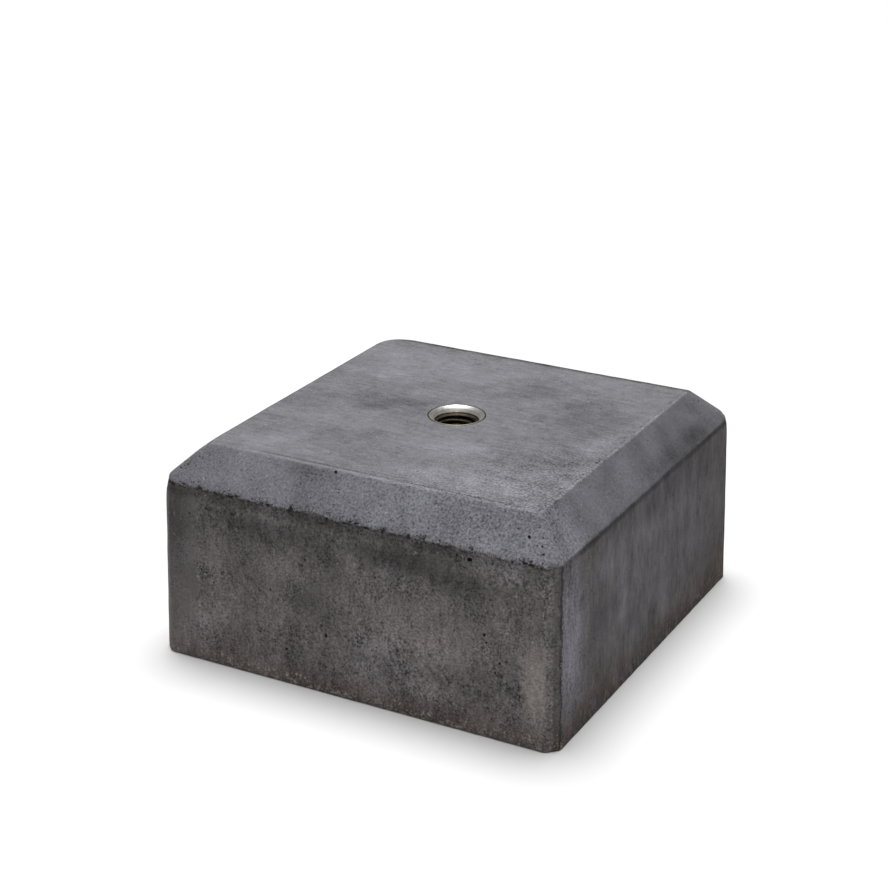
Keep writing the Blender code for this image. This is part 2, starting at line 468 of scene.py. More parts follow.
def pit_cutter(looks):
    """One lumpy ball, copied to every pit that stands clear of the others, and joined into one cutter."""
    draw = random.Random(looks.seed)
    pits = []
    for place, way, width in [*seen_pinholes(), *scattered_pits(looks, draw)]:
        if all((place - other).length > PIT_CLEARANCE * (width + wide) for other, _, wide in pits):
            pits.append((place, way, width))

    deselect_all()
    bpy.ops.mesh.primitive_ico_sphere_add(subdivisions=2, radius=0.5)
    ball = bpy.context.active_object
    for vertex in ball.data.vertices:
        vertex.co *= 1 + 0.22 * noise.noise(vertex.co * 3.1)
    copies = []
    for place, way, width in pits:
        copy = ball.copy()
        copy.data = ball.data.copy()
        bpy.context.scene.collection.objects.link(copy)
        turn = way.to_track_quat("Z", "Y") @ Euler((0, 0, draw.uniform(0, math.tau))).to_quaternion()
        stretch = draw.uniform(1.0, 1.5)
        size = Vector((width * stretch, width / stretch ** 0.5, width * 0.9))
        copy.matrix_world = Matrix.LocRotScale(place - 0.12 * width * way.normalized(), turn, size)
        copies.append(copy)
    bpy.data.objects.remove(ball)
    take_up(copies[0])
    for copy in copies:
        copy.select_set(True)
    bpy.ops.object.join()
    bpy.ops.object.transform_apply(location=True, rotation=True, scale=True)
    return bpy.context.active_object


def pocket_cutter():
    """The round hole for the sleeve, with the casting gap all round and a rim that has frayed a little."""
    radius = SLEEVE_RADIUS + CASTING_GAP
    bottom = SLEEVE_BOTTOM - CASTING_GAP
    top = BLOCK_HEIGHT + 2 * MM
    deselect_all()
    bpy.ops.mesh.primitive_cylinder_add(
        vertices=SPIN_STEPS, radius=radius, depth=top - bottom, location=(0, 0, (top + bottom) / 2),
    )
    cutter = bpy.context.active_object
    bpy.ops.object.transform_apply(location=True, rotation=True, scale=True)
    for vertex in cutter.data.vertices:
        fray = 1 + 0.012 * noise.noise(vertex.co / (1.7 * MM))
        vertex.co.x *= fray
        vertex.co.y *= fray
    return cutter


def cut_away(block, cutter):
    """Takes a cutter's shape out of the block, and throws the cutter away."""
    cut = block.modifiers.new("cut", "BOOLEAN")
    cut.operation = "DIFFERENCE"
    cut.solver = "MANIFOLD"
    cut.object = cutter
    take_up(block)
    bpy.ops.object.modifier_apply(modifier=cut.name)
    bpy.data.objects.remove(cutter)


def mark_hollows(block):
    """Keeps how many millimetres each point lies under the rounded surface, for the painted shade in the
    pits.
    """
    points = read_points(block)
    height, _ = above_surface(points, wear_size(points))
    hollow = block.data.attributes.new("hollow", "FLOAT", "POINT")
    hollow.data.foreach_set("value", np.clip(-height / MM, 0, 5).astype(np.float32))


# Materials


def add(tree, kind, inputs=None, **settings):
    """Adds a node, sets its options, and fills or links its inputs by name or number."""
    node = tree.nodes.new(kind)
    for name, value in settings.items():
        setattr(node, name, value)
    for name, value in (inputs or {}).items():
        if isinstance(value, bpy.types.NodeSocket):
            tree.links.new(value, node.inputs[name])
        else:
            node.inputs[name].default_value = value
    return node


def millimetres(tree):
    """The place on the piece, in millimetres, so that every pattern is given its real size."""
    place = add(tree, "ShaderNodeTexCoord").outputs["Object"]
    return add(tree, "ShaderNodeVectorMath", {0: place, "Scale": 1 / MM}, operation="SCALE").outputs[0]


def grains(tree, where, size, detail=2.0):
    """Cloudy grains, mostly between -1 and 1, whose size is one number or one along each axis."""
    if not isinstance(size, tuple):
        size = (size, size, size)
    stretched = add(tree, "ShaderNodeMapping", {"Vector": where, "Scale": [1 / length for length in size]})
    pattern = add(
        tree, "ShaderNodeTexNoise",
        {"Vector": stretched.outputs[0], "Scale": 1.0, "Detail": detail, "Roughness": 0.6},
    )
    return add(
        tree, "ShaderNodeMapRange",
        {"Value": pattern.outputs["Fac"], "From Min": 0.3, "From Max": 0.7, "To Min": -1.0, "To Max": 1.0},
        clamp=False,
    ).outputs[0]


def specks(tree, where, spacing, width, share):
    """Round specks of a real width, about one to each cell of the spacing, of which a share is kept."""
    cells = add(tree, "ShaderNodeTexVoronoi", {"Vector": where, "Scale": 1 / spacing, "Randomness": 1.0})
    chance = add(tree, "ShaderNodeSeparateColor", {0: cells.outputs["Color"]}).outputs[0]
    kept = add(tree, "ShaderNodeMath", {0: chance, 1: share}, operation="LESS_THAN").outputs[0]
    radius = width / 2 / spacing
    return add(
        tree, "ShaderNodeMapRange",
        {"Value": cells.outputs["Distance"], "From Min": radius * 1.3, "From Max": radius * 0.5,
         "To Min": 0.0, "To Max": kept},
    ).outputs[0]


def band(tree, value, start, end):
    """A soft step: 0 before start and 1 after end, which may lie either way round."""
    return add(
        tree, "ShaderNodeMapRange", {"Value": value, "From Min": start, "From Max": end},
        interpolation_type="SMOOTHSTEP",
    ).outputs[0]


def line(tree, value, middle, reach):
    """1 where a value is at its middle, and softly 0 beyond its reach on either side."""
    away = add(tree, "ShaderNodeMath", {0: value, 1: middle}, operation="SUBTRACT").outputs[0]
    away = add(tree, "ShaderNodeMath", {0: away}, operation="ABSOLUTE").outputs[0]
    return band(tree, away, reach, 0.0)


def times(tree, *values):
    product = values[0]
    for value in values[1:]:
        product = add(tree, "ShaderNodeMath", {0: product, 1: value}, operation="MULTIPLY").outputs[0]
    return product


def heap(tree, start, *layers):
    """A starting value with patterns added to it, each times its strength."""
    total = start
    for pattern, strength in layers:
        total = add(
            tree, "ShaderNodeMath", {0: pattern, 1: strength, 2: total}, operation="MULTIPLY_ADD",
        ).outputs[0]
    return total


def toned(tree, colour, tone):
    """A colour made lighter or darker."""
    return add(tree, "ShaderNodeVectorMath", {0: colour, "Scale": tone}, operation="SCALE").outputs[0]


def blend_colours(tree, share, first, second):
    """One colour into another by a share from 0 to 1."""
    mix = add(tree, "ShaderNodeMix", data_type="RGBA")
    for socket, value in (("Factor_Float", share), ("A_Color", first), ("B_Color", second)):
        target = next(entry for entry in mix.inputs if entry.identifier == socket)
        if isinstance(value, bpy.types.NodeSocket):
            tree.links.new(value, target)
        else:
            target.default_value = value if socket == "Factor_Float" else (*value[:3], 1)
    return next(entry for entry in mix.outputs if entry.identifier == "Result_Color")


def stains(tree, where, marks):
    """Soft oval stains, added up: each mark has its middle, its reach and its strength."""
    total = 0.0
    for middle, reach, strength in marks:
        shrunk = [1 / length for length in reach]
        moved = [-place / length for place, length in zip(middle, reach)]
        local = add(
            tree, "ShaderNodeVectorMath", {0: where, 1: shrunk, 2: moved}, operation="MULTIPLY_ADD",
        ).outputs[0]
        distance = add(tree, "ShaderNodeVectorMath", {0: local}, operation="LENGTH").outputs["Value"]
        total = heap(tree, total, (band(tree, distance, 1.0, 0.2), strength))
    return total


# Stains, each a middle and a reach in millimetres, and how much lighter or darker it is
PLATEAU_STAINS = (
    ((-45, 52, 100), (55, 30, 20), 0.09),
    ((30, 66, 100), (50, 16, 20), 0.04),
    ((-38, -2, 100), (36, 20, 20), -0.16),
    ((-70, -18, 100), (16, 22, 20), -0.11),
    ((20, 44, 100), (20, 18, 20), -0.13),
    ((54, 22, 100), (32, 36, 20), -0.14),
    ((62, -24, 100), (30, 28, 20), -0.08),
    ((12, -34, 100), (26, 14, 20), 0.14),
    ((34, -66, 100), (44, 13, 20), 0.15),
    ((-62, -68, 100), (22, 12, 20), 0.10),
    ((-34, -46, 100), (28, 12, 20), -0.10),
    ((50, -42, 100), (20, 9, 20), -0.08),
    ((-8, -66, 100), (16, 9, 20), -0.06),
    ((-58, 28, 100), (8, 3, 20), 0.20),
    ((-50, 35, 100), (5, 2, 20), 0.14),
)
BEVEL_STAINS = (
    ((-50, -90, 90), (30, 20, 20), 0.08),
    ((-88, -90, 90), (14, 20, 20), -0.06),
    ((-22, -84, 97), (34, 6, 6), -0.12),
    ((40, -90, 90), (45, 20, 20), 0.06),
    ((90, -72, 90), (16, 14, 20), 0.12),
    ((90, -30, 90), (16, 16, 20), -0.08),
    ((90, 5, 92), (16, 14, 20), -0.04),
    ((94, 46, 86), (12, 60, 8), -0.28),
    ((90, 40, 92), (16, 44, 20), -0.08),
)
SIDE_STAINS = (
    ((-42, -99, 71), (27, 12, 9), -0.29),
    ((24, -99, 73), (32, 12, 9), -0.34),
    ((52, -99, 67), (18, 12, 8), -0.26),
    ((-66, -99, 74), (18, 12, 8), -0.14),
    ((-8, -99, 62), (9, 12, 14), -0.18),
    ((-24, -99, 43), (10, 12, 9), -0.20),
    ((-10, -99, 34), (7, 12, 9), -0.16),
    ((-92, -99, 60), (14, 12, 44), -0.29),
    ((78, -99, 30), (10, 12, 13), -0.08),
    ((19, -99, 18), (7, 12, 9), -0.18),
    ((-66, -99, 50), (9, 12, 18), 0.14),
    ((-70, -99, 24), (22, 12, 14), 0.08),
    ((0, -99, 70), (8, 12, 8), 0.12),
    ((-45, -99, 24), (22, 12, 12), 0.08),
    ((40, -99, 40), (36, 12, 26), 0.28),
    ((72, -99, 58), (26, 12, 14), 0.10),
    ((44, -99, 14), (18, 12, 8), 0.20),
    ((56, -99, 6), (34, 12, 5), -0.16),
    ((88, -99, 58), (10, 12, 20), 0.04),
    ((100, -56, 45), (12, 13, 16), -0.36),
    ((100, -4, 74), (12, 26, 7), -0.21),
    ((100, -38, 66), (12, 5, 11), -0.18),
    ((100, -14, 30), (12, 14, 12), -0.15),
    ((100, 10, 20), (12, 20, 10), 0.08),
    ((100, 40, 76), (12, 64, 16), -0.36),
    ((100, 70, 30), (12, 40, 30), -0.09),
    ((100, 20, 62), (12, 9, 18), 0.15),
)
BLOOM_STAINS = (
    ((100, -86, 48), (12, 22, 50), 1.0),
    ((100, -45, 70), (12, 28, 14), 0.25),
    ((100, -20, 55), (12, 24, 34), 0.20),
    ((100, 10, 50), (12, 110, 60), 0.32),
)
EARTH_STAINS = (
    ((90, -99, 27), (9.5, 12, 30), 1.0),
    ((88, -99, 62), (6, 12, 18), 0.25),
    ((100, -35, 68), (12, 6, 10), 0.20),
)
CHIP_STAINS = (
    ((98, -95, 2), (7, 7, 10), 0.45),
    ((10, -100, 0), (160, 9, 8), 0.7),
)


def survey(tree):
    """Where a point of the concrete lies, which face it is on, and the patterns that its zones share."""
    where = millimetres(tree)
    x, y, z = add(tree, "ShaderNodeSeparateXYZ", {0: where}).outputs[:]
    wide = add(tree, "ShaderNodeMath", {0: x}, operation="ABSOLUTE").outputs[0]
    deep = add(tree, "ShaderNodeMath", {0: y}, operation="ABSOLUTE").outputs[0]
    here = SimpleNamespace(where=where, x=x, y=y, z=z)
    here.out = add(tree, "ShaderNodeMath", {0: wide, 1: deep}, operation="MAXIMUM").outputs[0]

    # Patterns, finest first
    here.sand = grains(tree, where, 1.05)
    here.grit = grains(tree, where, 3.2, 3)
    here.mottle = grains(tree, where, 10, 3)
    here.cloud = grains(tree, where, 34)
    here.weather = grains(tree, where, (13, 13, 20), 6)
    here.runs = grains(tree, where, (10.0, 10.0, 60.0), 2)
    here.pale_veins = line(tree, grains(tree, where, 5.0, 5), 0.0, 0.13)
    here.dark_veins = line(tree, grains(tree, where, 3.8, 5), 0.1, 0.13)

    # The concrete is sandier towards the near corner
    here.near = band(tree, heap(tree, x, (y, -1.0)), 40.0, 130.0)
    here.near_sand = times(tree, here.sand, here.near)

    # Which face it is
    arris_start = (2 * FOOT_HALF - ARRIS_CUT) / MM
    here.from_corner = heap(tree, x, (deep, -1.0))
    here.front = band(tree, heap(tree, 0.0, (y, -1.0), (wide, -1.0)), -1.0, 1.0)
    here.right = band(tree, here.from_corner, 4.4, 5.2)
    here.cheek = band(tree, heap(tree, wide, (deep, -1.0)), -1.0, 1.0)
    here.arris = band(
        tree, heap(tree, 0.0, (wide, 1.0), (deep, 1.0), (z, 2 * LEAN), (here.grit, 0.25)),
        arris_start - 0.6, arris_start - 0.2,
    )

    # The shoulder, ragged on the front, and the pores and pale sand that crowd along it
    here.rough_edge = times(
        tree, heap(tree, 0.0, (here.grit, 0.6), (here.mottle, 0.5)), heap(tree, 0.30, (here.front, 0.70)),
    )
    here.ragged = heap(tree, z, (here.rough_edge, 1.0))
    front_middle = times(tree, here.front, heap(tree, 0.5, (line(tree, x, -5.0, 70.0), 0.6)))
    crumbled = times(
        tree, line(tree, heap(tree, z, (here.mottle, 1.2)), SHOULDER_HEIGHT / MM - 0.8, 5.0),
        heap(tree, 0.2, (front_middle, 0.8), (here.right, -0.2)),
    )
    here.pores = specks(tree, where, 2.8, 0.9, 0.16)
    here.pepper = specks(tree, where, 0.95, 0.7, heap(tree, 0.01, (crumbled, 0.7)))
    here.pale_sand = specks(tree, where, 1.3, 0.7, heap(tree, 0.08, (crumbled, 0.4)))
    return here


def plateau_finish(tree, here, colour):
    """Trowel strokes that run along X, across a cloudy surface, and stop at a double line of painted shade
    and painted highlight.
    """
    edge = PLATEAU_HALF / MM
    strokes = grains(tree, here.where, (9.0, 1.8, 1.8), 3)
    front_edge = heap(tree, here.y, (here.mottle, 0.25))
    right_edge = heap(tree, here.x, (here.grit, 0.2))
    lip = times(tree, band(tree, here.x, -68.0, -52.0), band(tree, here.x, 78.0, 60.0))
    tone = heap(
        tree, 0.98, (here.sand, 0.15), (here.near_sand, 0.42), (here.grit, 0.10), (strokes, 0.14),
        (here.weather, 0.15), (here.cloud, 0.10), (times(tree, here.weather, here.near), 0.20),
        (here.dark_veins, -0.12), (here.pale_veins, 0.10), (here.pores, -0.16),
        (stains(tree, here.where, PLATEAU_STAINS), 1.6),
        # painted shade of a small groove behind the front edge, then a painted highlight where the rounded
        # edge catches the light
        (times(tree, lip, line(tree, front_edge, -edge + 2.6, 1.0)), -0.42),
        (times(tree, line(tree, front_edge, -edge + 0.7, 0.8), band(tree, here.grit, -0.8, 0.1)), 0.18),
        (times(tree, line(tree, right_edge, edge - 0.3, 0.8), band(tree, here.grit, -0.2, 0.3)), 0.30),
        (times(tree, line(tree, right_edge, edge - 1.6, 0.9), band(tree, here.grit, 0.0, 0.5)), -0.50),
        (band(tree, here.y, edge - 4.2, edge - 1.4), -0.60),
        (band(tree, here.x, -edge + 1.5, -edge), -0.35),
    )
    return toned(tree, colour, tone)


def bevel_finish(tree, here, colour):
    """Sandy concrete with pale bloom in patches, calmer along the +X side."""
    fine = heap(
        tree, 0.0, (here.sand, 0.32), (here.near_sand, 0.24), (here.grit, 0.04), (here.pale_veins, 0.20),
        (here.dark_veins, -0.12), (here.pores, -0.40), (here.pale_sand, 0.34),
    )
    calm = times(tree, here.right, band(tree, here.y, -80.0, -55.0))
    tone = heap(
        tree, 1.0, (times(tree, fine, heap(tree, 1.0, (calm, -0.65))), 1.0), (here.weather, 0.20),
        (here.cloud, 0.09), (here.right, -0.14), (stains(tree, here.where, BEVEL_STAINS), 1.25),
    )
    return toned(tree, colour, tone)


def side_grain(tree, here):
    """How light the sides are in detail: short upright marks on the front, long soft ones on the cheeks."""
    marks = grains(tree, here.where, (2.2, 2.2, 6.5), 3)
    lively = heap(
        tree, 0.40, (band(tree, here.x, -80.0, -77.0), 0.48), (here.cloud, 0.2), (here.mottle, 0.25),
        (here.near, 0.06),
    )
    live = heap(
        tree, 0.0, (here.sand, 0.60), (marks, 0.28), (here.weather, 0.38), (here.pale_veins, 0.32),
        (here.dark_veins, -0.20),
    )
    seam = times(
        tree, line(tree, heap(tree, here.x, (here.mottle, 0.5)), -78.0, 0.8),
        band(tree, here.grit, -0.2, 0.4), here.front,
    )
    chipped_line = times(
        tree, line(tree, heap(tree, here.from_corner, (here.grit, 0.5)), -5.6, 1.0),
        band(tree, here.z, 48.0, 62.0), band(tree, here.sand, -0.1, 0.5),
    )
    front = heap(
        tree, 1.0, (live, lively), (here.pores, -0.5), (here.pale_sand, 0.28), (seam, 0.4),
        (chipped_line, 0.9),
    )
    cheek = heap(
        tree, 0.65, (here.sand, 0.07), (times(tree, here.sand, band(tree, here.y, -40.0, -90.0)), 0.22),
        (here.runs, 0.12), (marks, 0.15), (here.weather, 0.18), (here.dark_veins, -0.05), (here.pores, -0.3),
    )
    return add(tree, "ShaderNodeMix", {0: here.cheek, 2: front, 3: cheek}, data_type="FLOAT").outputs[0]


def side_finish(tree, here, looks):
    """Browner concrete with a dark crack under the shoulder, painted shade under the shoulder on the +X
    side, a damp foot, and bloom and earth in places.
    """
    shoulder = SHOULDER_HEIGHT / MM
    fine = side_grain(tree, here)
    crack = heap(tree, here.z, (here.rough_edge, 0.7), (here.sand, 0.4))
    broken = band(tree, here.grit, -0.8, 0.4)
    level = heap(
        tree, 1.0, (here.cloud, 0.12), (stains(tree, here.where, SIDE_STAINS), 1.2),
        (times(tree, line(tree, here.ragged, shoulder - 2.5, 4.0), here.front), -0.34),
        (times(tree, line(tree, here.ragged, shoulder - 12.0, 18.0), here.front), -0.17),
        (times(tree, line(tree, crack, shoulder - 0.4, 1.1), here.front, broken), -0.55),
        # painted shade just under the +X shoulder, darkening the rounded edge where it catches the light
        (times(tree, here.right, line(tree, here.ragged, shoulder - 0.9, 2.6)), -0.68),
        (here.arris, 0.20), (times(tree, here.arris, band(tree, here.z, 26.0, 4.0)), -0.42),
    )
    level = add(tree, "ShaderNodeMath", {0: level, 1: 0.12}, operation="MAXIMUM").outputs[0]
    side = toned(tree, looks.shaded_side_colour, times(tree, fine, level))

    damp = band(tree, heap(tree, here.z, (here.mottle, 3.0), (here.grit, 1.0)), 14.0, 3.0)
    risen = band(tree, heap(tree, here.z, (here.weather, 10.0), (here.runs, 6.0)), 24.0, 6.0)
    rising = times(tree, here.cheek, risen)
    foot = heap(tree, 0.0, (damp, 0.45), (rising, 0.75))
    side = blend_colours(
        tree, foot, side, toned(tree, looks.damp_colour, heap(tree, fine, (rising, -0.16))),
    )

    off_arris = heap(tree, 1.0, (here.arris, -1.0))
    bloom = heap(
        tree, 0.0, (stains(tree, here.where, BLOOM_STAINS), 1.0), (band(tree, here.cloud, 0.0, 1.2), 0.12),
    )
    side = blend_colours(tree, times(tree, bloom, off_arris), side, toned(tree, looks.bloom_colour, fine))
    earth = heap(
        tree, 0.0, (stains(tree, here.where, EARTH_STAINS), 1.0),
        (times(tree, damp, band(tree, here.grit, 0.0, 0.6)), 0.4),
    )
    quiet = toned(tree, looks.earth_colour, heap(tree, 0.5, (fine, 0.5)))
    side = blend_colours(tree, times(tree, earth, off_arris), side, quiet)
    nibbled = line(tree, heap(tree, here.from_corner, (here.grit, 0.9), (here.sand, 0.6)), 5.0, 1.6)
    return toned(tree, side, heap(tree, 1.0, (nibbled, -0.75)))


def pit_shade_and_chips(tree, here, colour, looks):
    """Painted shade in the hollows of the pits, dark pepper specks in the pores, and pale chips and crumbs
    along the foot.
    """
    hollow = add(tree, "ShaderNodeAttribute", attribute_name="hollow").outputs["Fac"]
    # painted shade in the pits, darker the further they lie under the surface, and the dark pepper specks
    pit_shade_and_specks = heap(tree, 0.0, (band(tree, hollow, 0.2, 0.6), 0.95), (here.pepper, 0.8))
    colour = blend_colours(tree, pit_shade_and_specks, colour, looks.pit_shade_and_speck_colour)
    chipped = heap(tree, stains(tree, here.where, CHIP_STAINS), (here.grit, 0.6), (here.sand, 0.6))
    low = times(tree, here.front, band(tree, heap(tree, here.z, (here.mottle, 3.0)), 9.0, 2.0))
    crumbs = times(
        tree, specks(tree, here.where, 2.3, 1.6, heap(tree, 0.0, (low, 0.45))),
        band(tree, here.sand, -0.7, 0.3),
    )
    chips = heap(tree, 0.0, (band(tree, chipped, 0.85, 1.15), 0.6), (crumbs, 0.75))
    return blend_colours(tree, chips, colour, looks.chip_colour)


def concrete_material(looks):
    """Fine concrete, dyed dark all through and cast in a steel mould, so it is matt and dense.

    The top was trowelled and is palest. The bevel is bluish and sandy, and the sides are browner and darker,
    partly by their own colour and partly by painted shade, with cloudy marks where release oil ran,
    pores, and earth along the foot. The pits are darkened with painted shade.
    """
    material = bpy.data.materials.new("mould_cast_dyed_concrete")
    material.use_nodes = True
    tree = material.node_tree
    shader = tree.nodes["Principled BSDF"]
    here = survey(tree)
    shoulder = SHOULDER_HEIGHT / MM
    edge = PLATEAU_HALF / MM

    plateau = plateau_finish(tree, here, looks.plateau_colour)
    bevel = bevel_finish(tree, here, looks.bevel_colour)
    side = side_finish(tree, here, looks)
    above_shoulder = band(tree, here.ragged, shoulder - 0.3, shoulder + 0.9)
    on_plateau = band(tree, heap(tree, here.out, (here.grit, 0.12)), edge + 0.5, edge + 0.1)
    colour = blend_colours(tree, above_shoulder, side, bevel)
    colour = blend_colours(tree, on_plateau, colour, plateau)
    tree.links.new(pit_shade_and_chips(tree, here, colour, looks), shader.inputs["Base Color"])

    height = heap(
        tree, 0.0, (here.sand, 0.05), (here.grit, 0.05), (here.pores, -0.2), (here.pepper, -0.3),
        (here.pale_sand, 0.1),
    )
    relief = add(tree, "ShaderNodeBump", {"Height": height, "Distance": MM, "Strength": 0.8})
    tree.links.new(relief.outputs[0], shader.inputs["Normal"])
    polish = heap(tree, 0.85, (here.grit, 0.04), (here.mottle, 0.03))
    tree.links.new(polish, shader.inputs["Roughness"])
    shader.inputs["Specular IOR Level"].default_value = 0.35
    return material


def steel_material(looks):
    """Turned steel under bright zinc: rings from the lathe, blurred by the plating, a grimy thread, and
    painted shade down in the bore.
    """
    material = bpy.data.materials.new("zinc_plated_turned_steel")
    material.use_nodes = True
    tree = material.node_tree
    shader = tree.nodes["Principled BSDF"]
    where = millimetres(tree)
    _, _, z = add(tree, "ShaderNodeSeparateXYZ", {0: where}).outputs[:]
    level = add(tree, "ShaderNodeVectorMath", {0: where, 1: (1, 1, 0)}, operation="MULTIPLY").outputs[0]
    radius = add(tree, "ShaderNodeVectorMath", {0: level}, operation="LENGTH").outputs["Value"]
    turned = add(tree, "ShaderNodeCombineXYZ", {0: radius, 1: z}).outputs[0]
    rings = grains(tree, turned, 0.5, 1)          # tool marks are finer, and drawn as wide as a pixel
    patches = grains(tree, where, 3.0, 2)
    mouth = (BLOCK_HEIGHT - COUNTERSINK_DEPTH) / MM
    depth = band(tree, z, mouth + 0.15, mouth - 0.15)
    film = band(tree, radius, SLEEVE_RADIUS / MM - 0.75, SLEEVE_RADIUS / MM - 0.45)
    grimy = heap(tree, 0.0, (depth, 0.9), (film, 0.75), (band(tree, patches, 0.2, 1.2), 0.3))
    colour = blend_colours(tree, grimy, looks.steel_colour, looks.grime_colour)
    ledge = mouth - (RELIEF_DEPTH + LEAD_IN_DEPTH) / MM
    # painted shade down in the bore: in the thread's grooves, and all round just under the ledge
    bore_shade_share = heap(tree, band(tree, radius, 8.8, 9.6), (band(tree, z, ledge - 1.6, ledge - 0.2), 0.85))
    shade = times(tree, depth, band(tree, bore_shade_share, 0.0, 1.0))
    colour = toned(tree, colour, heap(tree, 1.0, (shade, -0.85), (film, -0.35), (rings, 0.10)))
    tree.links.new(colour, shader.inputs["Base Color"])
    roughness = heap(tree, 0.42, (rings, 0.10), (patches, 0.05), (depth, 0.1), (film, 0.15))
    tree.links.new(roughness, shader.inputs["Roughness"])
    relief = add(tree, "ShaderNodeBump", {"Height": rings, "Distance": 0.02 * MM, "Strength": 0.6})
    tree.links.new(relief.outputs[0], shader.inputs["Normal"])
    shader.inputs["Metallic"].default_value = 1.0
    return material


# The sleeve's mesh


def sleeve_section():
    """Half the sleeve's outline, from the middle of its closed end, up the outside and down the bore."""
    top = BLOCK_HEIGHT
    rim_inner = SLEEVE_RADIUS - RIM_CHAMFER - RIM_FLAT
    points = [
        (0, SLEEVE_BOTTOM),
        (SLEEVE_RADIUS, SLEEVE_BOTTOM),
        (SLEEVE_RADIUS, top - RIM_CHAMFER),
    ]
    for i in range(1, 4):
        turn = math.radians(30 * i)
        points.append((
            SLEEVE_RADIUS - RIM_CHAMFER * (1 - math.cos(turn)), top - RIM_CHAMFER * (1 - math.sin(turn)),
        ))
    steps = 8
    for i in range(steps + 1):
        share = i / steps
        bulge = COUNTERSINK_CROWN * math.sin(math.pi * share)
        points.append((
            rim_inner + (MOUTH_RADIUS - rim_inner) * share - bulge * 0.76,
            top - COUNTERSINK_DEPTH * share + bulge * 0.65,
        ))
    below = top - COUNTERSINK_DEPTH - RELIEF_DEPTH
    floor = SLEEVE_BOTTOM + SLEEVE_END
    points += [
        (MOUTH_RADIUS, below),
        (CREST_RADIUS, below - LEAD_IN_DEPTH),
        (CREST_RADIUS, floor + THREAD_RUN_OUT),
        (CREST_RADIUS, floor),
        (0, floor),
    ]
    return points


def cut_thread(sleeve):
    """Moves the wall of the bore out to a right-hand metric thread."""
    points = read_points(sleeve)
    radius = np.hypot(points[:, 0], points[:, 1])
    start = BLOCK_HEIGHT - COUNTERSINK_DEPTH - RELIEF_DEPTH
    end = SLEEVE_BOTTOM + SLEEVE_END + THREAD_RUN_OUT
    turn = -np.arctan2(points[:, 1], points[:, 0]) / math.tau
    phase = ((start - points[:, 2]) / THREAD_PITCH - turn - THREAD_TURN) % 1
    crest, root = 1 / 4, 1 / 8
    flank = (1 - crest - root) / 2
    depth = np.interp(phase, (0, crest, crest + flank, crest + flank + root, 1), (0, 0, 1, 1, 0))
    fade = np.clip((points[:, 2] - end) / (0.6 * THREAD_PITCH), 0, 1)
    bore = (radius > CREST_RADIUS - 0.01 * MM) & (radius < MOUTH_RADIUS - 0.05 * MM)
    wall = bore & (points[:, 2] < start)
    target = CREST_RADIUS + depth * fade * THREAD_DEPTH
    scale = np.where(wall & (target > radius), target / np.maximum(radius, MM), 1)
    points[:, :2] *= scale[:, None]
    write_points(sleeve, points)


def sleeve_form():
    """Draws the section point by point, spins it round the axis and cuts the thread."""
    section = sleeve_section()
    deselect_all()
    bpy.ops.mesh.primitive_plane_add(size=MM, location=(section[0][0], 0, section[0][1]))
    sleeve = bpy.context.active_object
    bpy.ops.object.transform_apply(location=True, rotation=True, scale=True)
    bpy.ops.object.mode_set(mode="EDIT")
    bpy.ops.mesh.select_mode(type="VERT")
    bpy.ops.mesh.select_all(action="SELECT")
    bpy.ops.mesh.merge(type="CENTER")
    for before, after in zip(section, section[1:]):
        step = (after[0] - before[0], 0, after[1] - before[1])
        bpy.ops.mesh.extrude_region_move(TRANSFORM_OT_translate={"value": step})

    thread_top, thread_bottom = section[-4][1], section[-3][1]
    middle = (thread_top + thread_bottom) / 2
    reach = (thread_top - thread_bottom) / 2 + 0.1 * MM
    choose(sleeve, "EDGE", lambda edge: all(
        abs(vertex.co.x - CREST_RADIUS) < 0.01 * MM and abs(vertex.co.z - middle) < reach
        for vertex in edge.verts
    ))
    bpy.ops.mesh.subdivide(number_cuts=WALL_ROWS)
    bpy.ops.mesh.select_all(action="SELECT")
    bpy.ops.mesh.spin(steps=SPIN_STEPS, angle=math.tau, center=(0, 0, 0), axis=(0, 0, 1))
    bpy.ops.mesh.select_all(action="SELECT")
    bpy.ops.mesh.remove_doubles(threshold=0.001 * MM)
    bpy.ops.mesh.normals_make_consistent(inside=False)
    bpy.ops.object.mode_set(mode="OBJECT")
    cut_thread(sleeve)
    return sleeve


# Operators


class ConcreteBlock(bpy.types.Operator):
    """Models the cast concrete block with its worn edges, crumbled shoulder and pits"""

    bl_idname = "mesh.base_block_concrete"
    bl_label = "Concrete block"

    def execute(self, context):
        looks = context.scene.base_block_concrete
        block = block_form()
        cut_grid(block)
        wear_block(block, looks)
        cut_away(block, pit_cutter(looks))
        cut_away(block, pocket_cutter())
        mark_hollows(block)
        finish_piece(
            block, "cast_block", "concrete_block", concrete_material(looks), 40,
        )
        return {"FINISHED"}


class ThreadedSleeve(bpy.types.Operator):
    """Models the turned steel sleeve with its countersunk mouth and its thread"""

    bl_idname = "mesh.base_block_sleeve"
    bl_label = "Threaded sleeve"

    def execute(self, context):
        looks = context.scene.base_block_sleeve
        sleeve = sleeve_form()
        finish_piece(
            sleeve, "socket_sleeve", "threaded_sleeve", steel_material(looks), 32,
        )
        return {"FINISHED"}


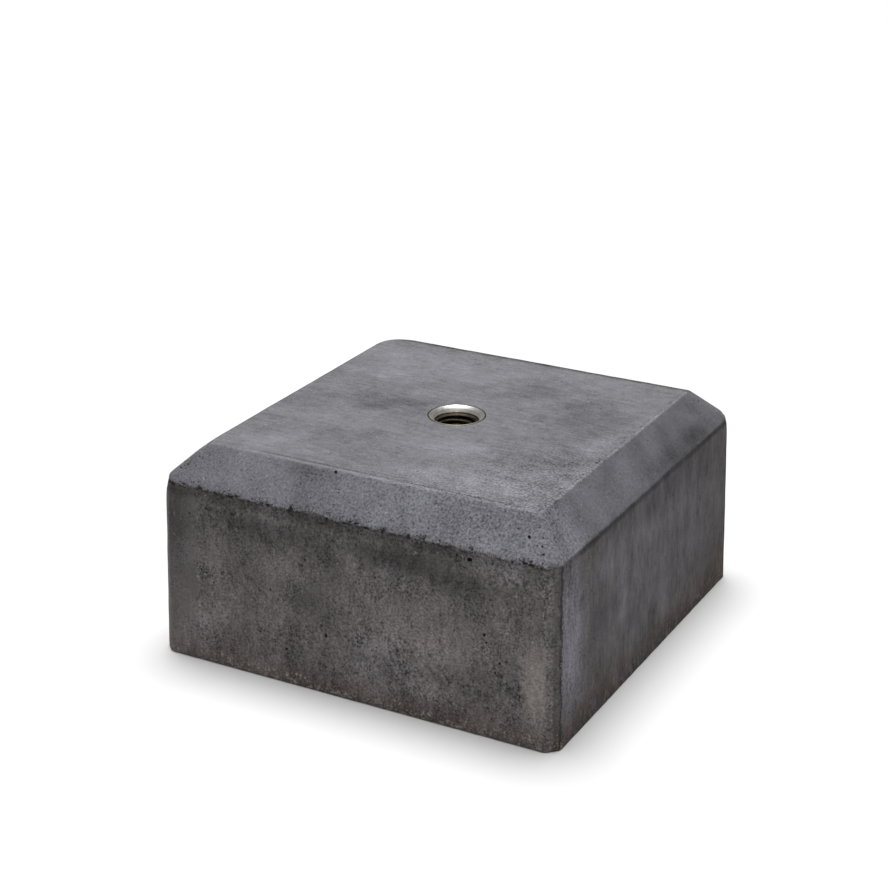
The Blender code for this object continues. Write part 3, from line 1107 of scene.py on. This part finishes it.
class Stage(bpy.types.Operator):
    """Lays the white floor, and sets the lights and the camera"""

    bl_idname = "scene.base_block_stage"
    bl_label = "Floor, lights and camera"

    def execute(self, context):
        looks = context.scene.base_block_stage
        scene = context.scene
        scene.view_settings.view_transform = "Standard"

        deselect_all()
        bpy.ops.mesh.primitive_plane_add(size=24, location=(0, 0, 0))
        floor = context.active_object
        floor.name = "floor"
        paper = bpy.data.materials.new("white_backdrop_paper")
        paper.use_nodes = True
        shader = paper.node_tree.nodes["Principled BSDF"]
        shader.inputs["Base Color"].default_value = (*looks.floor_colour, 1)
        shader.inputs["Roughness"].default_value = 1.0
        shader.inputs["Specular IOR Level"].default_value = 0.0
        floor.data.materials.append(paper)

        deselect_all()
        tilt = [math.radians(turn) for turn in OVERHEAD_TILT]
        bpy.ops.object.light_add(type="SUN", location=(0, 0, 2), rotation=tilt)
        overhead = context.active_object
        overhead.name = "overhead_light"
        overhead.data.angle = math.radians(OVERHEAD_SPREAD)
        overhead.data.energy = looks.overhead_light

        turn = Vector(CARD_PLACE).to_track_quat("Z", "Y").to_euler()
        bpy.ops.object.light_add(type="AREA", location=CARD_PLACE, rotation=turn)
        card = context.active_object
        card.name = "front_card"
        card.data.size = CARD_SIZE
        card.data.energy = looks.front_light

        world = bpy.data.worlds.new("studio")
        scene.world = world
        world.use_nodes = True
        background = world.node_tree.nodes["Background"]
        background.inputs["Color"].default_value = (1, 1, 1, 1)
        paths = add(world.node_tree, "ShaderNodeLightPath").outputs
        seen, mirrored = paths["Is Camera Ray"], paths["Is Glossy Ray"]
        strength = heap(
            world.node_tree, looks.fill_light, (seen, 1 - looks.fill_light), (mirrored, looks.room_light),
        )
        world.node_tree.links.new(strength, background.inputs["Strength"])

        camera_data = bpy.data.cameras.new("camera")
        camera_data.lens = CAMERA_LENS
        camera_data.sensor_width = 36
        camera = bpy.data.objects.new("camera", camera_data)
        camera.location = CAMERA_PLACE
        camera.rotation_euler = Euler([math.radians(turn) for turn in CAMERA_TURN])
        scene.collection.objects.link(camera)
        scene.camera = camera
        return {"FINISHED"}


class BaseBlockPanel(bpy.types.Panel):
    """Sizes, colours and buttons for the column base block"""

    bl_idname = "VIEW3D_PT_base_block"
    bl_label = "Column base block"
    bl_space_type = "VIEW_3D"
    bl_region_type = "UI"
    bl_category = "Base block"

    def draw(self, context):
        for owner, operator in (
            ("base_block_concrete", ConcreteBlock),
            ("base_block_sleeve", ThreadedSleeve),
            ("base_block_stage", Stage),
        ):
            looks = getattr(context.scene, owner)
            box = self.layout.box()
            for name in looks.__annotations__:
                box.prop(looks, name)
            box.operator(operator.bl_idname)


CLASSES = (ConcreteLooks, SleeveLooks, StageLooks, ConcreteBlock, ThreadedSleeve, Stage, BaseBlockPanel)


def register():
    for each in CLASSES:
        bpy.utils.register_class(each)
    bpy.types.Scene.base_block_concrete = PointerProperty(type=ConcreteLooks)
    bpy.types.Scene.base_block_sleeve = PointerProperty(type=SleeveLooks)
    bpy.types.Scene.base_block_stage = PointerProperty(type=StageLooks)


def unregister():
    del bpy.types.Scene.base_block_stage
    del bpy.types.Scene.base_block_sleeve
    del bpy.types.Scene.base_block_concrete
    for each in reversed(CLASSES):
        bpy.utils.unregister_class(each)


def main():
    register()
    bpy.ops.mesh.base_block_concrete()
    bpy.ops.mesh.base_block_sleeve()
    bpy.ops.scene.base_block_stage()


if __name__ == "__main__":
    main()
